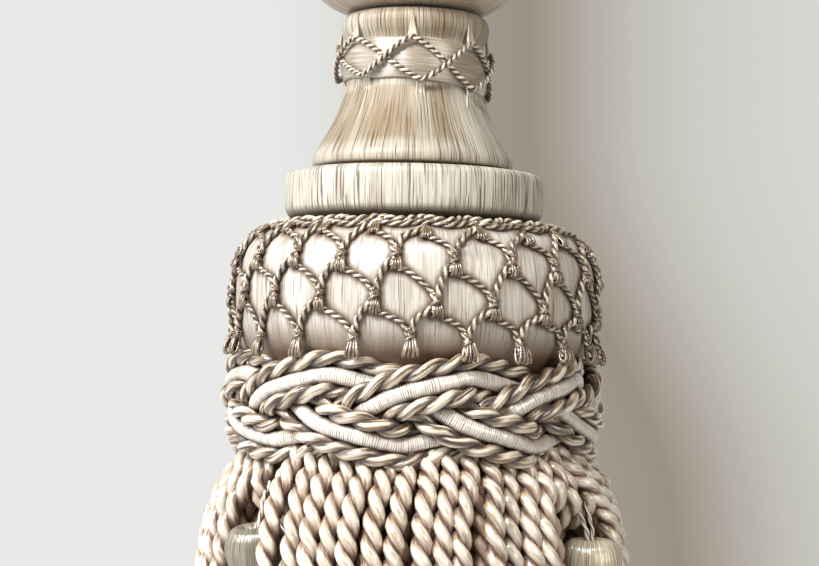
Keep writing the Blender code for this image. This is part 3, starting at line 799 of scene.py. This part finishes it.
def add_net_cord(path, radius, pitch, phase):
    plies, heart = plies_of(lean(path), radius, LOOSE, pitch, 8, False, phase)
    net_lines.extend((line, 0.56 * radius) for line in plies)
    net_hearts.append((heart, radius))


for row in range(3):
    for k in range(NET_COLUMNS):
        a0, z0 = knots[row, k]
        right_a, right_z = knots[row + 1, k]
        left_a, left_z = knots[row + 1, (k - 1) % NET_COLUMNS]
        while left_a > a0:
            left_a -= 360.0
        while right_a < a0:
            right_a += 360.0
        add_net_cord(net_leg((a0, z0), (right_a, right_z), 0.50, True), 0.60, 3.3,
                     net_rng.uniform(0, math.tau))
        add_net_cord(net_leg((a0, z0), (left_a, left_z), 0.70, False), 0.74, 3.8,
                     net_rng.uniform(0, math.tau))

# ring cords at the shoulder, one over the other, and the little loop from the ring to each knot
for ring_z, ring_out, radius in ((-60.6, 0.66, 0.86), (-61.6, 0.80, 0.74)):
    ring = []
    for i in range(240):
        a = i * 1.5
        wave = 0.28 * math.sin(math.radians(a * NET_COLUMNS + 40.0)) * (1 if radius > 0.7 else -1)
        ring.append(on_drum(a, ring_z + wave, ring_out))
    plies, heart = plies_of(lean(ring), radius, LOOSE, 4.2, 8, True, 0.0)
    net_lines.extend((np.vstack([line, line[:1]]), 0.56 * radius) for line in plies)
    net_hearts.append((heart, radius))


def add_knot_loop(points, radius, reach):
    path, _ = even_points(lean(points), 0.5, False)
    net_lines.append((path, radius))
    net_hearts.append((path, reach))


def net_knot(degrees, z, row):
    """A crossing bound with cord: turns slung round its top and a sheaf of loops at its foot."""
    low = row == 3
    for j, side in enumerate((-1.5, -0.5, 0.5, 1.5)):
        loop = []
        height = (3.3 if low else 2.2) + net_rng.normal(0.0, 0.22)
        for t in np.linspace(0.0, math.tau, 13):
            up = 0.5 * height * math.cos(t)
            spread = side * (0.36 + (0.46 if low else 0.22) * (0.5 - up / height))
            a = degrees + math.degrees((spread + 0.25 + 0.2 * math.sin(t)) / KNOT_R)
            loop.append(on_drum(a, z + 1.3 + up, 0.80 + 0.66 * math.sin(t) + 0.12 * (j % 2)))
        add_knot_loop(loop, 0.35 if low else 0.27, 0.43 if low else 0.33)
    for rise, slope in ((3.0, 0.5), (4.2, -0.55)) if row else ((2.6, 0.4),):
        loop = []
        for t in np.linspace(0.0, math.tau, 13):
            a = degrees + math.degrees(0.85 * math.cos(t) / KNOT_R)
            loop.append(on_drum(a, z + rise + slope * math.cos(t), 0.75 + 0.70 * math.sin(t)))
        add_knot_loop(loop, 0.30, 0.37)


for (row, k), (a, z) in knots.items():
    net_knot(a, z, row)

net = cord_mesh("net_cord", net_lines, net_hearts, 6)

# painted shade: the sides of the cords that lie against the drum are painted dark, and so is the floss
# beside them and the drum's floss towards its foot and under the ring at its shoulder
painted_shade_lifts = net.data.attributes["lift_for_painted_light"].data
for v, depth in zip(net.data.vertices, painted_shade_lifts):
    x, y, z = lean(np.array(v.co) / MM, tilt=-SEAT_TILT)
    proud = (math.hypot(x, y) - drum_radius(z)) / 0.85
    depth.value *= clamp(0.45 + 0.55 * proud, 0.45)
beside_net = tree_of(np.concatenate([points for points, _ in net_hearts]) * MM)
pressed_and_painted_shade = drum.data.attributes.new("pressed_and_painted_shade", "FLOAT", "POINT")
for v, mark in zip(drum.data.vertices, pressed_and_painted_shade.data):
    away = beside_net.find(v.co)[2] / MM
    depth = seat_depth(v.co)
    edge = 0.95 * clamp((depth - 78.5) / 7.0) + 0.5 * clamp((63.4 - depth) / 2.2)
    mark.value = max(edge, 0.95 * clamp((1.65 - away) / 0.9))
finish_piece(net, bronze_silk, "net_cord", "net")

# ---------------------------------------------------------------------------------------------
# Plait
# A Turk's head of three leads and eight bights round the spigot, worked with three cords side
# by side, rope, gimp and rope. Each is one closed loop. They start from the knot's rule and
# are then pushed apart until they only press on each other.

PLAIT_Z = -95.75
PLAIT_R = 34.5
PLAIT_RISE = 5.2
PLAIT_SPACING = 3.0
PLAIT_LIFT = 1.9
PLAIT_PHASE = math.radians(19.0)
LEADS, BIGHTS = 3, 8
ROPE_R, GIMP_R = 1.66, 1.62
LOOP_POINTS = 330
PLAIT_OFFSETS = (2.85, 0.0, -3.75)         # upper rope, gimp, lower rope
PLAIT_INNER_R, PLAIT_OUTER_R = 30.5, 38.35
PUSH_ROUNDS = 45


def plait_loop(offset):
    """One cord by the knot's rule: three times round, over and under at each crossing."""
    i = np.arange(LOOP_POINTS)
    turn = math.tau * LEADS * i / LOOP_POINTS
    wave = turn * BIGHTS / LEADS
    rise = PLAIT_RISE * np.sin(wave) * BIGHTS / LEADS
    length = np.hypot(PLAIT_R, rise)
    z = -PLAIT_RISE * np.cos(wave) + offset * PLAIT_R / length
    a = turn - offset * rise / length / PLAIT_R + PLAIT_PHASE + math.pi / BIGHTS
    moved = wave + 0.30 * offset / PLAIT_SPACING * np.sin(wave)
    r = PLAIT_R - PLAIT_LIFT * np.tanh(4.0 * np.sin(2.0 * moved))
    return np.stack([r * np.sin(a), -r * np.cos(a), PLAIT_Z + z], 1)


plait = np.concatenate([plait_loop(o) for o in PLAIT_OFFSETS])
loop_of = np.repeat(np.arange(3), LOOP_POINTS)
half = np.where(loop_of == 1, GIMP_R, ROPE_R)
place = np.tile(np.arange(LOOP_POINTS), 3)
apart = np.abs(place[:, None] - place[None])
apart = np.minimum(apart, LOOP_POINTS - apart)
may_touch = (loop_of[:, None] != loop_of[None]) | (apart > 6)
needed = (half[:, None] + half[None]) * 0.97
for _ in range(PUSH_ROUNDS):
    gap = plait[:, None] - plait[None]
    distance = np.linalg.norm(gap, axis=2) + 1e-6
    short = np.where(may_touch, np.clip(needed - distance, 0.0, None), 0.0)
    push = gap / distance[..., None] * short[..., None]
    touching = (short > 0).sum(1, keepdims=True)
    plait = plait + 0.55 * push.sum(1) / np.maximum(touching, 1)
    for k in range(3):
        loop = plait[loop_of == k]
        eased = 0.5 * loop + 0.25 * (np.roll(loop, 1, 0) + np.roll(loop, -1, 0))
        plait[loop_of == k] = 0.75 * loop + 0.25 * eased
    radius = np.hypot(plait[:, 0], plait[:, 1])
    wanted = np.clip(radius, PLAIT_INNER_R + half, PLAIT_OUTER_R - half)
    plait[:, :2] *= (wanted / radius)[:, None]

# its foot rides out over the heads of the bullion cords
flare = np.clip((-103.5 - plait[:, 2]) / 8.0, 0.0, 1.0)
plait[:, :2] *= (1.0 + 2.2 * flare * flare * (3.0 - 2.0 * flare) / 36.0)[:, None]


def paint_contact_shade(piece, own):
    """Lowers 'lift' where a strand of the plait lies against one of the others: a painted contact shadow.
    """
    others = lean(plait[loop_of != own])
    radii = np.where(loop_of[loop_of != own] == 1, GIMP_R, ROPE_R)
    tree = tree_of(others * MM)
    for v, mark in zip(piece.data.vertices, piece.data.attributes["lift_for_painted_light"].data):
        _, i, away = tree.find(v.co)
        mark.value *= clamp(0.35 + 0.65 * (away / MM - radii[i]) / 0.8, 0.35)


# tones from crease to crest: painted shade to painted highlight
rope_silk = cord_silk("rope_silk", ((0.020, 0.005, 0.002), (0.09, 0.043, 0.018),
                                     (0.30, 0.21, 0.125), (0.82, 0.745, 0.61)),
                      8.0, 34.0, 0.0, 0.25, (0.50, 1.06), 1.9, 0.00022)
for name, k in (("plait_rope_upper", 0), ("plait_rope_lower", 2)):
    path = lean(plait[loop_of == k])
    plies, heart = plies_of(path, ROPE_R, TIGHT, 9.8, 18, True, 0.7 * k)
    rope = cord_mesh(name + "_silk", [(line, 0.61 * ROPE_R) for line in plies],
                     [(heart, ROPE_R)], 12, True, (), 0.25)
    paint_contact_shade(rope, k)
    finish_piece(rope, rope_silk, "rope_silk", name)

# the gimp: a soft core wrapped with floss, each turn of the wrapping a fine ridge
WRAP = 0.42
gimp_path, gimp_length = even_points(lean(plait[loop_of == 1]), WRAP / 2.0, True)
if len(gimp_path) % 2:
    gimp_path, _ = even_points(gimp_path, gimp_length / (len(gimp_path) + 1), True)
gimp_rng = np.random.default_rng(61)
slow = np.convolve(gimp_rng.normal(0.0, 0.35, len(gimp_path)), np.ones(24) / 24, "same")
ridges = np.where(np.arange(len(gimp_path)) % 2 == 0, 0.045, -0.045)
widths = GIMP_R + slow * 0.6 + ridges + gimp_rng.normal(0.0, 0.008, len(gimp_path))
gimp_mesh = swept("plait_gimp_silk", [(gimp_path, widths)], 12, True)
gimp_mesh.shade_smooth()
gimp = link_object("plait_gimp_silk", gimp_mesh)

# painted shade: the gimp is darker on its top, foot and inner side, and where it lies against the ropes
painted_facing_shade = gimp_mesh.attributes.new("lift_for_painted_light", "FLOAT", "POINT")
heart_tree = tree_of(gimp_path * MM)
for v, mark in zip(gimp_mesh.vertices, painted_facing_shade.data):
    heart = heart_tree.find(v.co)[0]
    facing = (v.co - heart).dot(Vector((heart.x, heart.y, 0.0)).normalized()) / (GIMP_R * MM)
    mark.value = clamp(0.45 + 0.55 * (facing + 0.1) / 0.7, 0.45)
paint_contact_shade(gimp, 1)

gimp_silk, tree = new_material("gimp_silk")
laid = add(tree, "UVMap", uv_map="UVMap").outputs[0]
wraps = add(tree, "Mapping", {"Vector": laid, "Scale": (gimp_length / WRAP * 0.8, 1.6, 1.0)})
turns = noise(tree, wraps.outputs[0], Scale=1.0, Detail=2.0, Roughness=0.7)
# each turn of the wrapping is painted lighter at its crest and darker between turns: painted highlight and
# shade
wave = calc(tree, "MULTIPLY", split(tree, laid)["X"], math.pi * len(gimp_path))
part = calc(tree, "MULTIPLY", calc(tree, "COSINE", wave), 0.24)
tone = ramp(tree, calc(tree, "ADD", part, turns), [
    (0.20, (0.30, 0.22, 0.17)), (0.36, (0.62, 0.545, 0.475)), (0.54, (0.90, 0.85, 0.79))])
# painted shade from the stored value, mixed towards a dark brown
clear = rescaled(tree, attribute(tree, "lift_for_painted_light"), 0.35, 0.9)
toned = add(tree, "MixRGB", {"Fac": clear, "Color1": (0.20, 0.13, 0.09, 1.0), "Color2": tone})
silk_shader(tree, toned.outputs[0], turns, 0.5, 0.00006, {
    "Roughness": 0.27, "IOR": 1.8, "Sheen Weight": 0.15})
finish_piece(gimp, gimp_silk, "gimp_silk", "plait_gimp")

# ---------------------------------------------------------------------------------------------
# Bullion skirt
# Thick two-ply cords sewn side by side under the plait, hanging in three sectors with sparser
# rows inside, their heads caught in one round heading. Real ones are doubled back and end in a
# loop; here each ply tapers to a rounded tip.

# tones from crease to crest: painted shade to painted highlight
bullion_silk = cord_silk("bullion_silk", ((0.07, 0.018, 0.006), (0.29, 0.175, 0.10),
                                           (0.54, 0.43, 0.32), (0.84, 0.765, 0.66)),
                         12.0, 36.0, 40.0, 0.22, (0.52, 0.94), 1.0, 0.0002)
# the inner rows' silk: a darker, warmer copy of the bullion silk, painted shade
shaded_silk = cord_silk("shaded_silk", ((0.09, 0.024, 0.009), (0.25, 0.105, 0.05),
                                         (0.42, 0.245, 0.145), (0.56, 0.41, 0.29)),
                        12.0, 36.0, 40.0, 0.5, (0.46, 0.90), 1.0, 0.00015)
DROP_ANGLES = (-49.0, 59.0, 183.0)
DROP_TOPS = (-117.3, -120.4, -118.5)
# where the cords of the front sector hang, and for the others how far they keep from the drops
FRONT_CORDS = (-40.2, -33.5, -27.8, -23.0, -17.6, -11.5, -4.6, 2.3, 7.5, 12.3, 20.9, 27.4, 32.7, 37.6, 44.5)
PARTINGS = ((7.5, 11.0), (6.5, 9.5), (9.5, 11.0))
ROOT_SHIFTS = (0.0, -10.0, 0.0)
SECTOR_STRANDS = 15
BULLION_R = 2.05
skirt_rng = np.random.default_rng(71)
HANG_HEIGHTS = (103.5, 106.0, 107.8, 111.2, 118.8, 127.2, 140.0, 160.0, 190.0, 226.0)
HANG_RADII = (31.6, 33.0, 34.6, 37.5, 40.2, 41.5, 42.2, 42.4, 42.0, 41.6)


def hang_radius(z):
    return float(np.interp(-z, HANG_HEIGHTS, HANG_RADII))


def bullion_path(root, low, end_z, inwards, sway, tuck=0.0):
    """A hanging cord's middle line, from its head under the plait to its end. tuck is how far it
    is pushed in where a drop hangs before it."""
    path = []
    top = -103.8 if inwards < 2.0 else -107.2
    for z in np.linspace(top, end_z, 34):
        ease = clamp((-104.0 - z) / 14.0)
        ease = ease * ease * (3 - 2 * ease)
        down = (top - z) / (top - end_z)
        wave = sway[0] * math.sin(down * 5.0 + sway[1]) + sway[2] * math.sin(down * 11.0 + sway[3])
        a = root + (low - root) * ease + wave * min(1.0, down * 5.0) / 40.0
        r = hang_radius(z) - inwards * min(1.0, 0.6 + ease) + 0.4 * sway[4] * ease
        r -= tuck * clamp((-110.5 - z) / 9.5)
        path.append(polar(r, a, z))
    return path


def hang_strands(name, strands, per_turn, sides, replaces=(), silk=bullion_silk):
    """One mesh of bullion cords from (path, pitch, phase, cord radius) rows."""
    lines, hearts = [], []
    for path, pitch, phase, size in strands:
        plies, heart = plies_of(path, size, TIGHT, pitch, per_turn, False, phase)
        lines.extend((line, 0.60 * size) for line in plies)
        hearts.append((heart, size))
    piece = cord_mesh(name, lines, hearts, sides, ends=((0, 0.3), (1, 0.72), (2, 0.92)), painted_back_shade=0.4)
    finish_piece(piece, silk, "bullion_silk", *replaces)


def sways():
    return (skirt_rng.normal(0.0, 0.45), skirt_rng.uniform(0, math.tau), skirt_rng.normal(0.0, 0.22),
            skirt_rng.uniform(0, math.tau), skirt_rng.normal(0.0, 1.0))


for sector, start in enumerate(DROP_ANGLES):
    end = DROP_ANGLES[(sector + 1) % 3] + (360.0 if sector == 2 else 0.0)
    after, before = PARTINGS[sector]
    width = (end - start - after - before) / SECTOR_STRANDS
    spread = (end - start - 9.0) / SECTOR_STRANDS
    strands = []
    for i in range(SECTOR_STRANDS):
        low = math.radians(start + after + (i + 0.5) * width)
        if sector == 0:
            low = math.radians(FRONT_CORDS[i])
        drawn = ROOT_SHIFTS[sector] * max(0.0, 1.0 - i / 6.0)
        root = math.radians(start + 4.5 + drawn + (i + 0.5) * spread)
        end_z = -223.0 + skirt_rng.normal(0.0, 1.2)
        sunk = 1.5 if skirt_rng.random() < 0.16 and 1 < i < SECTOR_STRANDS - 2 else 0.0
        if sector == 0:
            sunk = {0: -1.1, 3: 0.9, 11: 1.7}.get(i, 0.0)
        tuck = 7.5 if sector == 0 and i == 14 else 0.0
        path = bullion_path(root, low, end_z, sunk, sways(), tuck)
        strands.append((path, 8.7 * skirt_rng.uniform(0.95, 1.05), skirt_rng.uniform(0, math.tau),
                        BULLION_R * skirt_rng.uniform(0.97, 1.04)))
    hang_strands(f"bullion_outer_{sector + 1}", strands, 10, 8,
                 ("bullion_skirt",) if sector == 0 else ())

strands = []
for degrees, top in zip(DROP_ANGLES, DROP_TOPS):
    for beside in (-6.0, 5.0):
        a = math.radians(degrees + beside)
        path = []
        for z in np.linspace(-103.8, -222.0, 40):
            down = clamp((top + 7.0 - z) / 7.0)
            r = hang_radius(z) - 0.8
            r += (29.3 - r) * down * down * (3 - 2 * down)
            path.append(polar(r, a, z))
        strands.append((path, 8.5, skirt_rng.uniform(0, math.tau), BULLION_R))
hang_strands("bullion_behind_drops", strands, 9, 8)

for row, (inwards, count) in enumerate(((3.3, 46), (8.0, 30), (15.0, 22), (26.0, 10))):
    strands = []
    for i in range(count):
        degrees = (i + 0.5) * 360.0 / count
        a = math.radians(degrees)
        pressed_and_painted_shade = 11.5 if nearest_angle(degrees, DROP_ANGLES) < 14.0 else 0.0
        path = bullion_path(a, a, -222.0 + skirt_rng.normal(0.0, 1.5), max(inwards, pressed_and_painted_shade), sways())
        strands.append((path, 8.4 * skirt_rng.uniform(0.93, 1.07), skirt_rng.uniform(0, math.tau),
                        BULLION_R))
    hang_strands(f"bullion_inner_{row + 1}", strands, 7 if row == 0 else 5, 6, silk=shaded_silk)

# the heads of the cords are rolled into a heading that hangs down a little inside the skirt
heading_line = smooth_line([(4.0, -102.9), (27.5, -102.9), (28.8, -103.6), (30.4, -106.5),
                            (31.0, -110.5), (28.5, -116.0), (26.0, -123.0), (22.0, -127.5),
                            (4.0, -128.6)], 3)
heading = floss_mould("skirt_heading", to_axis(heading_line), 240, -108.2, SEAT_TILT, 72, 0.1)
# the heading's silk is painted dark: painted shade inside the skirt
shaded_heading_silk = floss_silk("shaded_heading_silk", (0.30, 0.20, 0.13), (0.14, 0.085, 0.05), (0.03, 0.012, 0.006),
                          52.0, 0.36)
finish_piece(heading, shaded_heading_silk, "bullion_silk")

# ---------------------------------------------------------------------------------------------
# Drops
# Three small turned moulds covered with floss, dished at the top, that hang on a doubled thread
# in the partings of the skirt. Each ends in a short tuft of thin cords.

DROP_AXIS_R = 38.8
DROP_LEANS = (9.0, 2.0, 5.0)
drop_line = smooth_line([(0.9, -1.7), (1.5, -1.6), (2.3, -0.8), (3.0, -0.15), (3.7, -0.15), (4.7, -0.9),
                         (5.5, -2.3), (5.9, -4.1), (5.8, -5.8), (5.4, -7.4), (4.7, -8.4), (4.0, -8.6)], 3)
# painted light and shade: the left drop's silk is painted darker and the right drop's lighter than the back
# one's
DROP_PAINTED_LIGHT = (0.64, 1.45, 1.0)
TUFT_CORD_R = 0.92
drop_rng = np.random.default_rng(81)
for n, (degrees, top, tip) in enumerate(zip(DROP_ANGLES, DROP_TOPS, DROP_LEANS), start=1):
    a = math.radians(degrees)
    centre = (DROP_AXIS_R * math.sin(a), -DROP_AXIS_R * math.cos(a))
    drop = floss_mould(f"drop_{n}_floss", to_axis(drop_line), 220, 0.0, 0.0, 80 + n, 0.13)
    axis = Vector((math.cos(a), math.sin(a), 0.0))
    move = (Matrix.Translation(Vector((centre[0], centre[1], top - 4.3)) * MM)
            @ Matrix.Rotation(math.radians(tip), 4, axis)
            @ Matrix.Translation(Vector((0.0, 0.0, 4.3)) * MM))
    drop.data.transform(move)
    shade = DROP_PAINTED_LIGHT[n - 1]
    drop_floss = floss_silk(f"drop_{n}_silk", (0.56 * shade, 0.51 * shade, 0.385 * shade),
                            (0.20 * shade, 0.165 * shade, 0.105 * shade),
                            (0.05, 0.030, 0.012), 22.0, 0.36, 0.2, 0.24, centre=centre)
    finish_piece(drop, drop_floss, "silk_floss", f"drop_mould_{n}")

    threads, hearts = [], []
    across = np.array([math.cos(a), math.sin(a), 0.0])
    out = np.array([math.sin(a), -math.cos(a), 0.0])
    for head, foot, thick in ((-1.6, -0.5, 0.50), (1.7, 0.9, 0.40)):
        line = np.array([out * 34.8 + across * head * 1.5 + (0, 0, -108.4),
                         out * 37.4 + across * head * 1.1 + (0, 0, top + 5.0),
                         out * (DROP_AXIS_R - 0.2) + across * (0.6 * head + 0.4 * foot) + (0, 0, top + 1.5),
                         out * DROP_AXIS_R + across * foot + (0, 0, top - 1.5)])
        line[:3] -= out * (1.6 if n == 1 else 0.0)
        plies, heart = plies_of(line, thick, TIGHT, 5.0, 12, False, head)
        threads.extend((ply, 0.6 * thick) for ply in plies)
        hearts.append((heart, thick))
    thread = cord_mesh(f"drop_{n}_threads", threads, hearts, 6)
    finish_piece(thread, white_floss, "rope_silk", f"drop_thread_{n}")

    tuft, hearts = [], []
    for ring, (r0, r1, count) in enumerate(((1.2, 1.6, 5), (2.7, 3.7, 11))):
        for i in range(count):
            b = i * math.tau / count + 0.3 * ring
            c, s = math.cos(b), math.sin(b)
            x, y = centre
            length = 23.5 + drop_rng.normal(0.0, 0.5)
            line = [(x + r0 * s, y - r0 * c, top - 8.4), (x + r1 * s, y - r1 * c, top - 12.0),
                    (x + 1.05 * r1 * s, y - 1.05 * r1 * c, top - 18.0),
                    (x + 1.1 * r1 * s, y - 1.1 * r1 * c, top - 8.6 - length)]
            plies, heart = plies_of(line, TUFT_CORD_R, LOOSE, 4.2, 8, False, drop_rng.uniform(0, math.tau),
                                    (x + 0.01, y))
            tuft.extend((ply, 0.52) for ply in plies)
            hearts.append((heart, TUFT_CORD_R))
    tufts = cord_mesh(f"drop_{n}_tuft", tuft, hearts, 6, ends=((0, 0.4), (1, 0.8)))
    finish_piece(tufts, bullion_silk, "bullion_silk", f"drop_tuft_{n}")
